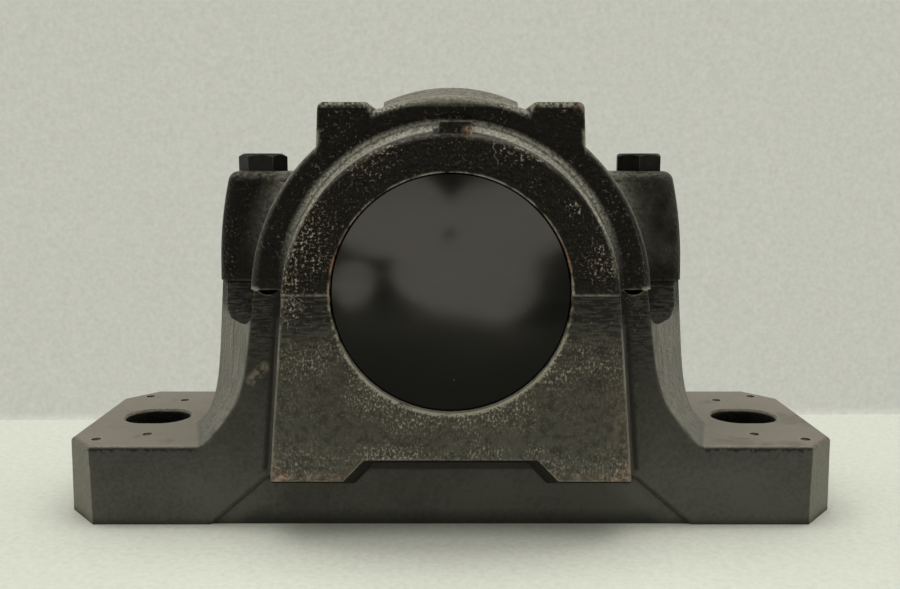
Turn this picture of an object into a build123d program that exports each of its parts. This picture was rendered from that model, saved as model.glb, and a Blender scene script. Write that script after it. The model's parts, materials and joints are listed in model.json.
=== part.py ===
from build123d import *
import os
from math import atan2, cos, pi, radians, sin, sqrt, tan

# Split plummer block of size 516: a cast base and cap that hold a self-aligning ball bearing on an
# adapter sleeve. Millimetres. +X runs along the feet, the shaft lies along Y with the closed end at -Y,
# and +Z is up. The origin is on the mounting plane, straight below the middle of the bearing.

# --- Housing: overall and feet ---
shaft_height = 95.0
base_length = 315.0
base_depth = 90.0
foot_thickness = 32.0
foot_corner_x = 14.0
foot_corner_y = 16.0
foot_end_draft = 2.5
cast_edge_radius = 2.0
slot_inset = 27.5
slot_length = 28.0
slot_width = 22.0
slot_edge_chamfer = 0.8
dimple_radius = 2.0
dimple_outer_inset_x = 13.0
dimple_outer_inset_y = 11.0
dimple_inner_inset_x = 31.5
dimple_inner_inset_y = 18.0

# --- Housing: pedestal of the base ---
wall_half_width = 76.0
wall_angle = 7.5
wall_lead = 51.0
wall_knee_x = 79.5
wall_knee_z = 56.8
wall_foot_x = 96.7
wall_foot_end = 100.1
column_half_width = 96.2
column_half_depth = 17.0
column_angle = 4.2
column_lead = 44.0
column_knee_x = 99.0
column_knee_z = 51.2
column_foot_x = 103.0
column_foot_end = 112.0
ledge_height = 80.0
ledge_radius = 6.0
corner_radius = 6.0
apron_half_width = 62.8
apron_flare = 6.4
apron_bottom = 23.4
apron_notch_height = 8.4
apron_notch_half_width = 33.0
apron_notch_slope = 8.0
apron_draft = 8.0
apron_underside_draft = 22.0
apron_edge_radius = 2.0
apron_root_radius = 4.0
relief_depth = 1.0
relief_half_width = 69.2
relief_foot_half_width = 97.5
pry_x = 70.5
pry_radius = 5.0
pry_depth = 2.0
pry_reach = 8.0

# --- Housing: cap ---
casting_drop = 4.0
barrel_radius = 80.5
barrel_end_radius = 77.5
barrel_edge_radius = 3.0
ring_radius = 63.2
ring_draft = 5.0
ring_edge_radius = 2.5
ring_root_radius = 5.0
lug_half_width = 96.6
lug_top_half_width = 92.2
lug_straight = 7.5
lug_half_depth = 17.5
lug_height = 45.0
lug_draft = 5.0
lug_top_radius = 4.5
lug_root_radius = 7.0
lug_overrun = 20.0
shoulder_inner_x = 30.0
shoulder_outer_x = 50.0
shoulder_height = 71.0
shoulder_draft = 3.0
shoulder_edge_radius = 2.5
pad_half_width = 27.0
pad_half_depth = 24.0
pad_height = 78.4
pad_radius = 66.0
pad_edge_width = 7.0
pad_edge_drop = 4.0
nib_left = -4.6
nib_right = 7.6
nib_height = 63.5
nib_setback = 1.0

# --- Housing: inside, the same in base and cap ---
overall_depth = 120.0
opening_diameter = 90.0
chamber_width = 12.0
cavity_diameter = 132.0
groove_diameter = 104.0
groove_inset = 3.5
groove_width = 8.0

# --- Bearing, self-aligning with two rows of balls ---
bearing_outer_diameter = 140.0
bearing_bore = 80.0
bearing_width = 33.0
bearing_taper = 1.0 / 12.0
ball_diameter = 17.4625
balls_per_row = 16
ball_circle_radius = 55.5
row_offset = 7.6
groove_conformity = 0.52
inner_shoulder_radius = 49.3
ring_corner_radius = 1.5
cage_inner_radius = 52.2
cage_outer_radius = 58.8
cage_width = 27.0
locating_ring_width = 12.5
locating_ring_bore = 125.0

# --- Adapter sleeve, nut and washer ---
shaft_diameter = 70.0
sleeve_length = 59.0
sleeve_front_reach = 37.0
sleeve_slit = 5.0
nut_diameter = 105.0
nut_width = 15.0
nut_thread_diameter = 80.0
nut_slot_width = 8.0
nut_slot_depth = 3.5
nut_slots = 4
nut_chamfer = 2.0
washer_thickness = 1.75
washer_body_diameter = 95.0
washer_tab_diameter = 112.0
washer_tabs = 17
washer_tab_width = 7.0

# --- Fasteners, cover and seal ---
cap_bolt_spacing = 160.0
cap_bolt_diameter = 12.0
cap_bolt_length = 70.0
cap_bolt_head_height = 7.3
cap_bolt_across_flats = 17.8
cap_bolt_crown = 0.9
cap_bolt_hole_diameter = 13.5
cap_bolt_tapped_depth = 33.0
left_bolt_turn = 4.0
right_bolt_turn = 22.0
dowel_diameter = 5.0
dowel_length = 16.0
dowel_x = 88.0
dowel_y = 11.0
plug_diameter = 10.0
plug_length = 8.0
plug_socket = 5.0
cover_setback = 3.0
cover_thickness = 4.0
cover_lip = 1.0
cover_edge = 0.5
cover_ring_width = 2.0
seal_lip_thickness = 1.5
seal_body_radius = 40.0
seal_body_width = 12.0

# --- Clearances ---
seat_clearance = 0.03
axial_clearance = 0.05
ball_clearance = 0.08
pocket_clearance = 0.22
taper_clearance = 0.02
thread_clearance = 0.05
groove_clearance = 0.10
opening_clearance = 0.15
joint_gap = 0.02
lip_clearance = 0.30
dowel_clearance = 0.02
tongue_clearance = 0.30

# --- Underside of the base, cored out so that the casting has even walls ---
core_depth = 12.0
core_half_width = 46.0
core_half_depth = 33.0
flank_core_depth = 19.0
flank_core_inner_x = 55.0
flank_core_outer_x = 105.0
core_draft = 3.0
core_corner_radius = 5.0

front_back = (-1, 1)
left_right = (-1, 1)
half_depth = base_depth / 2
half_length = base_length / 2
bolt_spacing = base_length - 2 * slot_inset
face_y = overall_depth / 2
groove_outer = face_y - groove_inset
groove_inner = groove_outer - groove_width
seat_radius = bearing_outer_diameter / 2 + seat_clearance
seat_half_width = bearing_width / 2 + locating_ring_width + 2 * axial_clearance
end_wall_inner = seat_half_width + chamber_width
plug_y = seat_half_width + chamber_width / 2
shaft_axis = Axis((0, 0, shaft_height), (0, 1, 0))
casting_axis = Axis((0, 0, shaft_height - casting_drop), (0, 1, 0))


def turned(points, axis=shaft_axis):
    """Revolve an outline of (place along the shaft, radius) points about the axis."""
    return revolved(make_face(Polyline(*points, close=True)), axis)


def revolved(sketch, axis=shaft_axis):
    """Revolve a sketch about the axis: its x runs along the shaft and its y is the radius."""
    plane = Plane(origin=axis.position, x_dir=(0, 1, 0), z_dir=(1, 0, 0))
    return revolve(plane * sketch, axis=axis)


def ring(radius, bore, start, end):
    """A plain ring about the shaft between two places along it."""
    return turned([(start, bore), (end, bore), (end, radius), (start, radius)])


def upright(radius, x, y, bottom, top):
    """A vertical cylinder."""
    return Pos(x, y, bottom) * Cylinder(radius, top - bottom, align=(Align.CENTER, Align.CENTER, Align.MIN))


def side_by_side(shape):
    """The shape and its mirror image on the other side of the shaft."""
    return [shape, mirror(shape, about=Plane.YZ)]


def front_and_rear(shape):
    """The shape and its mirror image at the other end of the shaft."""
    return [shape, mirror(shape, about=Plane.XZ)]


def interior():
    """What is cut out of base and cap round the shaft: seat, cavities, openings and seal grooves."""
    opening = opening_diameter / 2
    cavity = cavity_diameter / 2
    groove = groove_diameter / 2
    right = [(seat_half_width, seat_radius), (seat_half_width, cavity),
             (end_wall_inner, cavity), (end_wall_inner, opening),
             (groove_inner, opening), (groove_inner, groove),
             (groove_outer, groove), (groove_outer, opening),
             (face_y + 1, opening), (face_y + 1, 0)]
    left = [(-y, r) for y, r in reversed(right)]
    return turned(left + right)


# ---------------------------------------------------------------- base
def front_outline(half_width, angle, lead, knee, foot, foot_end):
    """Right half of the front view at one depth; one curve runs from the joint down into the foot.

    The curve leaves the joint at the angle and is steered by its lead, its knee and the start of the foot.
    """
    end = half_length - foot_thickness * tan(radians(foot_end_draft))
    joint = (half_width, shaft_height)
    led = (half_width + lead * tan(radians(angle)), shaft_height - lead)
    side = Polyline(joint, (0, shaft_height), (0, 0), (half_length, 0), (end, foot_thickness),
                    (foot_end, foot_thickness))
    side += Bezier((foot_end, foot_thickness), (foot, foot_thickness), knee, led, joint)
    return make_face(side)


def feet_and_flanks():
    """Feet and pedestal, with flanks that slant from the end walls out to the bolt columns."""
    wall = front_outline(wall_half_width, wall_angle, wall_lead, (wall_knee_x, wall_knee_z),
                         wall_foot_x, wall_foot_end)
    column = front_outline(column_half_width, column_angle, column_lead, (column_knee_x, column_knee_z),
                           column_foot_x, column_foot_end)
    flat = column_half_depth - corner_radius
    sections = [(-half_depth, wall), (-flat, column), (flat, column), (half_depth, wall)]
    right = loft([Plane.XZ.offset(-y) * face for y, face in sections], ruled=True)
    right &= extrude(chamfered_plan(), shaft_height)
    right = fillet(upper_rim(right), cast_edge_radius)
    return right + mirror(right, about=Plane.YZ)


def upper_rim(body):
    """The upper edges of the feet, all round, and the edges of the end walls that rise from them."""
    rim = []
    for edge in body.edges():
        box = edge.bounding_box()
        middle = edge.center()
        flat = max(abs(box.min.Z - foot_thickness), abs(box.max.Z - foot_thickness)) < 1e-4
        rising = box.min.Z > foot_thickness - 1 and box.size.Z > 1
        on_face = abs(abs(middle.Y) - half_depth) < 1e-4
        on_end = abs(middle.X) > half_length - foot_corner_x
        if (on_face and (flat or rising)) or (on_end and flat):
            rim.append(edge)
    return rim


def chamfered_plan():
    """Plan of the feet, with cut corners."""
    points = [(half_length, half_depth - foot_corner_y), (half_length - foot_corner_x, half_depth)]
    points += [(-x, y) for x, y in reversed(points)]
    points += [(-x, -y) for x, y in points]
    return make_face(Polyline(*points, close=True))


def beside_the_lugs():
    """What the flanks lose above the ledge, so that the bolt lugs stand out from the end walls."""
    rise = shaft_height - ledge_height
    lugs = Rectangle(2 * column_half_width, 2 * column_half_depth)
    lugs = fillet(lugs.vertices(), corner_radius)
    plan = Rectangle(2 * wall_half_width, base_depth) + lugs
    inner = [v for v in plan.vertices() if abs(abs(v.X) - wall_half_width) < 1e-6]
    inner = [v for v in inner if abs(abs(v.Y) - column_half_depth) < 1e-6]
    plan = fillet(inner, corner_radius)
    block = extrude(Plane.XY.offset(shaft_height) * plan, amount=-rise, taper=-wall_angle)
    room = Pos(0, 0, ledge_height) * Box(2 * base_length, 2 * base_depth, 2 * rise,
                                         align=(Align.CENTER, Align.CENTER, Align.MIN))
    room -= block
    floor = [e for e in room.edges() if abs(e.center().Z - ledge_height) < 1e-6]
    floor = [e for e in floor if max(abs(e.center().X), abs(e.center().Y)) < base_depth * 0.9
             and e.bounding_box().size.length < 2 * base_depth]
    return fillet(floor, ledge_radius)


def apron():
    """The raised front of the base below the ring, with its notched lower edge."""
    drop = shaft_height - apron_bottom
    foot = apron_half_width + drop * tan(radians(apron_flare))
    notch_top = apron_bottom + apron_notch_height
    right = [(apron_notch_half_width, notch_top),
             (apron_notch_half_width + apron_notch_slope, apron_bottom),
             (foot, apron_bottom), (apron_half_width, shaft_height)]
    left = [(-x, z) for x, z in reversed(right)]
    notched = Plane.XZ.offset(face_y) * make_face(Polyline(*right, *left, close=True))
    corners = [(foot, 0), (apron_half_width, shaft_height), (-apron_half_width, shaft_height), (-foot, 0)]
    plain = Plane.XZ.offset(face_y) * make_face(Polyline(*corners, close=True))
    depth = face_y - half_depth + 2
    body = extrude(notched, amount=-depth, taper=-apron_underside_draft)
    body &= extrude(plain, amount=-depth, taper=-apron_draft)
    front = [e for e in body.edges() if abs(e.center().Y + face_y) < 1e-6]
    sides = [e for e in front if abs(e.center().X) > apron_half_width]
    return fillet(sides, apron_edge_radius)


def foot_slot(x):
    """Slot for a foundation bolt, with a broken upper edge."""
    slot = SlotOverall(slot_length, slot_width)
    top = SlotOverall(slot_length + 2 * slot_edge_chamfer, slot_width + 2 * slot_edge_chamfer)
    hole = extrude(slot, foot_thickness + 1)
    edge_start = Plane.XY.offset(foot_thickness - slot_edge_chamfer)
    edge = loft([edge_start * slot, Plane.XY.offset(foot_thickness) * top])
    return Pos(x, 0, 0) * (hole + edge)


def relief():
    """The step that sets the foot's front back a little under the apron."""
    points = [(relief_foot_half_width, -1), (relief_half_width, apron_bottom)]
    points += [(-x, z) for x, z in reversed(points)]
    outline = make_face(Polyline(*points, close=True))
    step = extrude(Plane.XZ.offset(half_depth - relief_depth) * outline, amount=base_depth)
    return step - apron()


def cores():
    """Pockets cored out of the underside, under the seat and under both flanks."""
    width = flank_core_outer_x - flank_core_inner_x
    middle = fillet(Rectangle(2 * core_half_width, 2 * core_half_depth).vertices(), core_corner_radius)
    flank = fillet(Rectangle(width, 2 * core_half_depth).vertices(), core_corner_radius)
    flank = Pos(flank_core_inner_x + width / 2, 0, 0) * extrude(flank, flank_core_depth, taper=core_draft)
    return [extrude(middle, core_depth, taper=core_draft), *side_by_side(flank)]


def pry_notch():
    """Shallow scoop in the joint face, for the tip of a bar."""
    middle = shaft_height + pry_radius - pry_depth
    scoop = Cylinder(pry_radius, 2 * pry_reach, rotation=(90, 0, 0))
    return Pos(pry_x, -half_depth, middle) * scoop


def apron_roots(body):
    """The edges where the sides of the aprons leave the end walls."""
    found = []
    for edge in body.edges():
        middle = edge.center()
        beside = apron_half_width < abs(middle.X) < relief_foot_half_width
        if abs(abs(middle.Y) - half_depth) < 1e-4 and beside and edge.length > shaft_height / 2:
            found.append(edge)
    return found


def base():
    body = feet_and_flanks() - beside_the_lugs()
    for piece in front_and_rear(apron()):
        body += piece
    body &= Box(2 * base_length, 2 * base_depth, 2 * shaft_height)
    body = fillet(apron_roots(body), apron_root_radius)
    body -= interior()
    for piece in front_and_rear(relief()) + cores():
        body -= piece
    for x in (-bolt_spacing / 2, bolt_spacing / 2):
        body -= foot_slot(x)
    tapped_bottom = shaft_height - cap_bolt_tapped_depth
    dowel_bottom = shaft_height - dowel_length / 2 - 1
    for side in left_right:
        tapped_x = side * cap_bolt_spacing / 2
        body -= upright(cap_bolt_diameter / 2 + thread_clearance, tapped_x, 0, tapped_bottom, shaft_height)
        body -= upright(dowel_diameter / 2 + dowel_clearance, side * dowel_x, side * dowel_y,
                        dowel_bottom, shaft_height)
    for notch in side_by_side(pry_notch()):
        body -= notch
    for x, y in dimple_places():
        body -= Pos(x, y, foot_thickness) * Sphere(dimple_radius)
    return body


def dimple_places():
    """Cast marks for drilling the feet, four to a foot."""
    insets = [(dimple_inner_inset_x, dimple_inner_inset_y), (dimple_outer_inset_x, dimple_outer_inset_y)]
    pairs = [(half_length - x, half_depth - y) for x, y in insets]
    return [(i * x, j * y) for x, y in pairs for i in left_right for j in front_back]


# ---------------------------------------------------------------- cap
def barrel():
    """The cap's round body with its end rings, drafted both ways from the middle of the seat."""
    flare = (face_y - half_depth) * tan(radians(ring_draft))
    right = [(half_depth, barrel_end_radius), (half_depth, ring_radius + flare),
             (face_y, ring_radius), (face_y, 0)]
    left = [(-y, r) for y, r in reversed(right)]
    profile = make_face(Polyline(*left, (0, barrel_radius), *right, close=True))
    profile = rounded(profile, [(half_depth, barrel_end_radius)], barrel_edge_radius)
    profile = rounded(profile, [(half_depth, ring_radius + flare)], ring_root_radius)
    profile = rounded(profile, [(face_y, ring_radius)], ring_edge_radius)
    return revolved(profile, casting_axis)


def rounded(outline, corners, radius):
    """The outline with the named corners, and the same ones on the other side, rounded."""
    near = [v for v in outline.vertices() for y, r in corners if abs(abs(v.X) - y) + abs(v.Y - r) < 1e-6]
    return fillet(near, radius)


def lugs():
    """The two lugs that take the cap bolts, one block that runs on below the joint.

    Its ends curve in towards the top and its front and rear have draft.
    """
    top = shaft_height + lug_height
    bottom = shaft_height - lug_overrun
    shoulder_start = (lug_half_width, shaft_height + lug_straight)
    side = Polyline((0, bottom), (lug_half_width, bottom), shoulder_start)
    side += TangentArc(shoulder_start, (lug_top_half_width, top), tangent=(0, 1))
    side += Polyline((lug_top_half_width, top), (0, top))
    end_view = make_face(side + mirror(side, about=Plane.YZ))
    narrow = lug_half_depth - lug_height * tan(radians(lug_draft))
    wide = lug_half_depth + lug_overrun * tan(radians(lug_draft))
    side_view = Polyline((-wide, bottom), (wide, bottom), (narrow, top), (-narrow, top), close=True)
    block = extrude(Plane.XZ * end_view, amount=base_depth, both=True)
    block &= extrude(Plane.YZ * make_face(side_view), amount=base_length, both=True)
    corners = [e for e in block.edges() if e.bounding_box().size.Z > lug_straight]
    return fillet(corners, corner_radius)


def barrel_with_lugs():
    """The barrel and the lugs, run together with wide roots and with the lugs' tops softened."""
    block = lugs()
    body = barrel() + block
    body = fillet(lug_roots(body), lug_root_radius)
    top = block.faces().sort_by(Axis.Z)[-1]
    crown = fillet(top.edges(), lug_top_radius)
    soft_from = shaft_height + lug_height - lug_top_radius
    below = Pos(0, 0, soft_from) * Box(base_length, 2 * base_depth, 2 * shaft_height,
                                       align=(Align.CENTER, Align.CENTER, Align.MAX))
    return body & (barrel() + crown + below)


def shoulder():
    """The square block beside the pad, along the whole depth of the barrel."""
    top = shaft_height + shoulder_height
    foot = shoulder_outer_x + shoulder_height * tan(radians(shoulder_draft))
    points = [(shoulder_inner_x, top), (shoulder_outer_x, top),
              (foot, shaft_height), (shoulder_inner_x, shaft_height)]
    outline = make_face(Polyline(*points, close=True))
    corners = [v for v in outline.vertices() if abs(v.Y - top) < 1e-6]
    outline = fillet(corners, shoulder_edge_radius)
    return extrude(Plane.XZ * outline, amount=half_depth, both=True)


def pad():
    """The raised bare pad on top, crowned more than the barrel so that it runs out at its ends."""
    axis = Axis((0, 0, shaft_height + pad_height - pad_radius), (0, 1, 0))
    right = [(pad_half_depth, 0), (pad_half_depth, pad_radius - pad_edge_drop),
             (pad_half_depth - pad_edge_width, pad_radius)]
    left = [(-y, r) for y, r in reversed(right)]
    disc = turned(right + left, axis)
    return disc & Pos(0, 0, 2 * shaft_height) * Box(2 * pad_half_width, base_depth, 2 * shaft_height)


def nib():
    """The small cast nib on the front ring's upper edge."""
    width = nib_right - nib_left
    depth = face_y - nib_setback - end_wall_inner
    corner = (nib_left, nib_setback - face_y, shaft_height + opening_diameter / 2 + nib_setback)
    height = nib_height - opening_diameter / 2 - nib_setback
    return Pos(*corner) * Box(width, depth, height, align=(Align.MIN, Align.MIN, Align.MIN))


def cap():
    body = barrel_with_lugs() + pad() + nib()
    for piece in side_by_side(shoulder()):
        body += piece
    body &= Pos(0, 0, shaft_height) * Box(base_length, 2 * base_depth, 2 * shaft_height,
                                          align=(Align.CENTER, Align.CENTER, Align.MIN))
    body -= interior()
    below = shaft_height - 1
    lug_top = shaft_height + lug_height
    for side in left_right:
        body -= upright(cap_bolt_hole_diameter / 2, side * cap_bolt_spacing / 2, 0, below, lug_top + 1)
        body -= upright(dowel_diameter / 2 + dowel_clearance, side * dowel_x, side * dowel_y,
                        below, shaft_height + dowel_length / 2 + 1)
    return body - upright(plug_diameter / 2 + thread_clearance, 0, plug_y, shaft_height, plug_top() + 1)


def plug_top():
    """Height of the barrel over the grease hole, where the plug ends flush."""
    slope = (barrel_radius - barrel_end_radius) / half_depth
    return shaft_height - casting_drop + barrel_radius - slope * (plug_y + plug_diameter / 2)


def lug_roots(body):
    """The edges where the front and rear of the lugs meet the barrel."""
    found = []
    for edge in body.edges():
        box = edge.bounding_box()
        beside = lug_half_width / 2 < abs(edge.center().X) < lug_half_width - corner_radius
        if beside and abs(edge.center().Y) < 2 * lug_half_depth and edge.geom_type != GeomType.LINE:
            if box.size.Z > lug_height / 2 and box.min.Z > lug_height:
                found.append(edge)
    return found


# ---------------------------------------------------------------- bearing
ball_radius = ball_diameter / 2
centre_distance = sqrt(ball_circle_radius**2 + row_offset**2)
sphere_radius = centre_distance + ball_radius + ball_clearance
contact_angle = atan2(row_offset, ball_circle_radius)
half_width = bearing_width / 2


def bore_radius(y):
    """Radius of the inner ring's tapered bore, which widens towards the rear."""
    return bearing_bore / 2 + (y + half_width) * bearing_taper / 2


def outer_ring():
    """Outer ring with one spherical raceway for both rows, in which the rest of the bearing can tilt."""
    radius = bearing_outer_diameter / 2
    block = Pos(0, ball_circle_radius) * Rectangle(bearing_width, radius - ball_circle_radius,
                                                   align=(Align.CENTER, Align.MIN))
    block = rounded(block, [(half_width, radius)], ring_corner_radius)
    return revolved(block - Circle(sphere_radius))


def inner_ring():
    """Inner ring with two grooves and a tapered bore."""
    groove_radius = groove_conformity * ball_diameter
    shift = centre_distance + groove_radius - ball_radius - ball_clearance
    points = [(-half_width, bore_radius(-half_width)), (half_width, bore_radius(half_width)),
              (half_width, inner_shoulder_radius), (-half_width, inner_shoulder_radius)]
    corners = [(half_width, bore_radius(half_width)), (half_width, bore_radius(-half_width))]
    outline = rounded(make_face(Polyline(*points, close=True)), corners, ring_corner_radius)
    for row in front_back:
        outline -= Pos(row * shift * sin(contact_angle), shift * cos(contact_angle)) * Circle(groove_radius)
    return revolved(outline)


def ball(row, index, growth=0.0):
    """One ball, or the room for it: the rear row stands half a pitch behind the front row."""
    turn = 360 * (index + (0.5 if row > 0 else 0)) / balls_per_row
    upmost = Pos(0, row * row_offset, ball_circle_radius) * Sphere(ball_radius + growth)
    return Pos(0, 0, shaft_height) * Rot(0, turn, 0) * upmost


def cage():
    """One-piece cage that holds the balls of both rows."""
    body = ring(cage_outer_radius, cage_inner_radius, -cage_width / 2, cage_width / 2)
    for row in front_back:
        for index in range(balls_per_row):
            body -= ball(row, index, pocket_clearance)
    return body


def locating_ring(side):
    """Ring that fills the seat beside the bearing."""
    start = half_width + axial_clearance
    end = start + locating_ring_width
    radius = bearing_outer_diameter / 2
    return ring(radius, locating_ring_bore / 2, *sorted((side * start, side * end)))


# ---------------------------------------------------------------- adapter sleeve
def adapter_sleeve():
    """Slit sleeve, tapered outside to fit the inner ring, with its threaded end at the front."""
    front = -sleeve_front_reach
    rear = front + sleeve_length
    thread = nut_thread_diameter / 2
    taper_start = -half_width - axial_clearance
    bore = shaft_diameter / 2
    points = [(front, bore), (rear, bore), (rear, bore_radius(rear) - taper_clearance),
              (taper_start, bore_radius(taper_start) - taper_clearance),
              (taper_start, thread - thread_clearance), (front + 1, thread - thread_clearance),
              (front, thread - 1)]
    slit = Pos(0, (front + rear) / 2, shaft_height + bore) * Box(sleeve_slit, 2 * sleeve_length, bore)
    return turned(points) - slit


def lock_nut():
    """Round nut with slots for a hook spanner."""
    rear = -half_width - 2 * axial_clearance - washer_thickness
    front = rear - nut_width
    radius = nut_diameter / 2
    thread = nut_thread_diameter / 2
    points = [(front, thread), (rear, thread), (rear, radius - nut_chamfer), (rear - nut_chamfer, radius),
              (front + nut_chamfer, radius), (front, radius - nut_chamfer)]
    body = turned(points)
    middle = (front + rear) / 2
    for i in range(nut_slots):
        slot = Pos(0, middle, radius) * Box(nut_slot_width, 2 * nut_width, 2 * nut_slot_depth)
        body -= Pos(0, 0, shaft_height) * Rot(0, 360 * i / nut_slots, 0) * slot
    return body


def lock_washer():
    """Thin toothed washer: its tongue sits in the sleeve's slit and one tooth is bent into the nut."""
    rear = -half_width - axial_clearance
    front = rear - washer_thickness
    middle = (front + rear) / 2
    inner = nut_thread_diameter / 2 + thread_clearance
    body = ring(washer_body_diameter / 2, inner, front, rear)
    reach = (washer_tab_diameter - washer_body_diameter) / 2
    tooth = Pos(0, middle, washer_body_diameter / 2 - 1) * Box(
        washer_tab_width, washer_thickness, reach + 1, align=(Align.CENTER, Align.CENTER, Align.MIN))
    for i in range(1, washer_tabs):
        body += Pos(0, 0, shaft_height) * Rot(0, 360 * i / washer_tabs, 0) * tooth
    return body + bent_tooth(front, rear) + tongue(middle, inner)


def bent_tooth(front, rear):
    """The top tooth, bent forward into the nut's top slot."""
    bottom = nut_diameter / 2 - nut_slot_depth + tongue_clearance
    flat = bottom + washer_thickness - washer_body_diameter / 2 + 1
    first = Pos(0, (front + rear) / 2, shaft_height + washer_body_diameter / 2 - 1) * Box(
        washer_tab_width, washer_thickness, flat, align=(Align.CENTER, Align.CENTER, Align.MIN))
    length = nut_width / 2 + washer_thickness
    second = Pos(0, rear, shaft_height + bottom) * Box(
        washer_tab_width, length, washer_thickness, align=(Align.CENTER, Align.MAX, Align.MIN))
    return first + second


def tongue(middle, inner):
    """The washer's inner tongue, which keeps it from turning on the sleeve."""
    width = sleeve_slit - 2 * tongue_clearance
    length = inner - shaft_diameter / 2 - 1
    return Pos(0, middle, shaft_height + inner + 1) * Box(
        width, washer_thickness, length + 1, align=(Align.CENTER, Align.CENTER, Align.MAX))


# ---------------------------------------------------------------- fasteners, cover and seals
def cap_bolt(x, turn):
    """Hexagon bolt with a chamfered head, seen from above turned by the given angle."""
    seat = shaft_height + lug_height
    length = cap_bolt_length
    shank = upright(cap_bolt_diameter / 2, 0, 0, seat - length, seat)
    shank = chamfer(shank.faces().sort_by(Axis.Z)[0].edges(), cap_bolt_diameter / 12)
    head = extrude(RegularPolygon(cap_bolt_across_flats / 2, 6, major_radius=False), cap_bolt_head_height)
    crown = cap_bolt_crown * cap_bolt_across_flats / 2
    cone = Cone(crown + cap_bolt_across_flats, crown, cap_bolt_across_flats * tan(radians(30)),
                align=(Align.CENTER, Align.CENTER, Align.MAX))
    head &= Pos(0, 0, cap_bolt_head_height) * cone
    return Pos(x, 0, 0) * Rot(0, 0, turn) * (shank + Pos(0, 0, seat) * head)


def cap_bolts():
    x = cap_bolt_spacing / 2
    return Compound([cap_bolt(-x, left_bolt_turn), cap_bolt(x, right_bolt_turn)])


def dowel_pins():
    """Two pins at opposite corners, half in the base and half in the cap."""
    bottom = shaft_height - dowel_length / 2
    pins = []
    for side in left_right:
        pin = upright(dowel_diameter / 2, side * dowel_x, side * dowel_y, bottom, bottom + dowel_length)
        pins.append(chamfer(pin.edges().filter_by(GeomType.CIRCLE), dowel_diameter / 10))
    return Compound(pins)


def grease_plug():
    """Headless screw plug with a hexagon socket, flush in the cap."""
    top = plug_top()
    body = upright(plug_diameter / 2, 0, plug_y, top - plug_length, top)
    socket = extrude(RegularPolygon(plug_socket / 2, 6, major_radius=False), plug_length / 2)
    return body - Pos(0, plug_y, top - plug_length / 2) * socket


def end_cover():
    """Disc that closes the front opening, with a rim that sits in the seal groove."""
    face = cover_setback - face_y
    rim_front = -(groove_outer - groove_clearance - cover_lip)
    rim_rear = rim_front + cover_thickness
    rim = groove_diameter / 2 - cover_ring_width
    boss = opening_diameter / 2 - opening_clearance
    back = face + cover_thickness
    points = [(face, 0), (face, boss - cover_edge), (face + cover_edge, boss),
              (rim_front, boss), (rim_front, rim), (rim_rear, rim),
              (rim_rear, boss - cover_thickness), (back, boss - 2 * cover_thickness), (back, 0)]
    return turned(points)


def end_cover_ring():
    """Rubber ring of square section between the cover's rim and the bottom of the groove."""
    front = -(groove_outer - groove_clearance)
    rear = -(groove_inner + groove_clearance)
    outer = groove_diameter / 2 - groove_clearance
    rim = groove_diameter / 2 - cover_ring_width + groove_clearance
    return ring(outer, rim, front, rear)


def seal_half(upper):
    """Half of the rear seal: a block held in the groove, with two thin lips that reach the shaft."""
    inner = groove_inner + groove_clearance
    outer = groove_outer - groove_clearance
    middle = (inner + outer) / 2
    root = groove_diameter / 2 - groove_clearance
    neck = opening_diameter / 2 - opening_clearance
    lip = shaft_diameter / 2 + lip_clearance
    end = middle + seal_body_width / 2
    side = [(outer, root), (outer, neck), (end, neck), (end, lip), (end - seal_lip_thickness, lip),
            (end - 2 * seal_lip_thickness, seal_body_radius)]
    points = side + [(2 * middle - y, r) for y, r in reversed(side)]
    joint = shaft_height + (joint_gap if upper else -joint_gap)
    align = (Align.CENTER, Align.CENTER, Align.MIN if upper else Align.MAX)
    room = Box(overall_depth, overall_depth, overall_depth, align=align)
    return turned(points) & Pos(0, middle, joint) * room


# ---------------------------------------------------------------- all pieces
pieces = {
    "base": base(),
    "cap": cap(),
    "cap_bolts": cap_bolts(),
    "dowel_pins": dowel_pins(),
    "grease_plug": grease_plug(),
    "end_cover": end_cover(),
    "end_cover_ring": end_cover_ring(),
    "seal_lower": seal_half(upper=False),
    "seal_upper": seal_half(upper=True),
    "locating_ring_front": locating_ring(-1),
    "locating_ring_rear": locating_ring(1),
    "outer_ring": outer_ring(),
    "inner_ring": inner_ring(),
    "cage": cage(),
    "adapter_sleeve": adapter_sleeve(),
    "lock_nut": lock_nut(),
    "lock_washer": lock_washer(),
}
for row, row_name in zip(front_back, ("front", "rear")):
    for index in range(balls_per_row):
        pieces[f"ball_{row_name}_{index + 1:02d}"] = ball(row, index)

os.makedirs("parts", exist_ok=True)
for name, shape in pieces.items():
    export_step(shape, f"parts/{name}.step")
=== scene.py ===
import json
from math import radians

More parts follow.
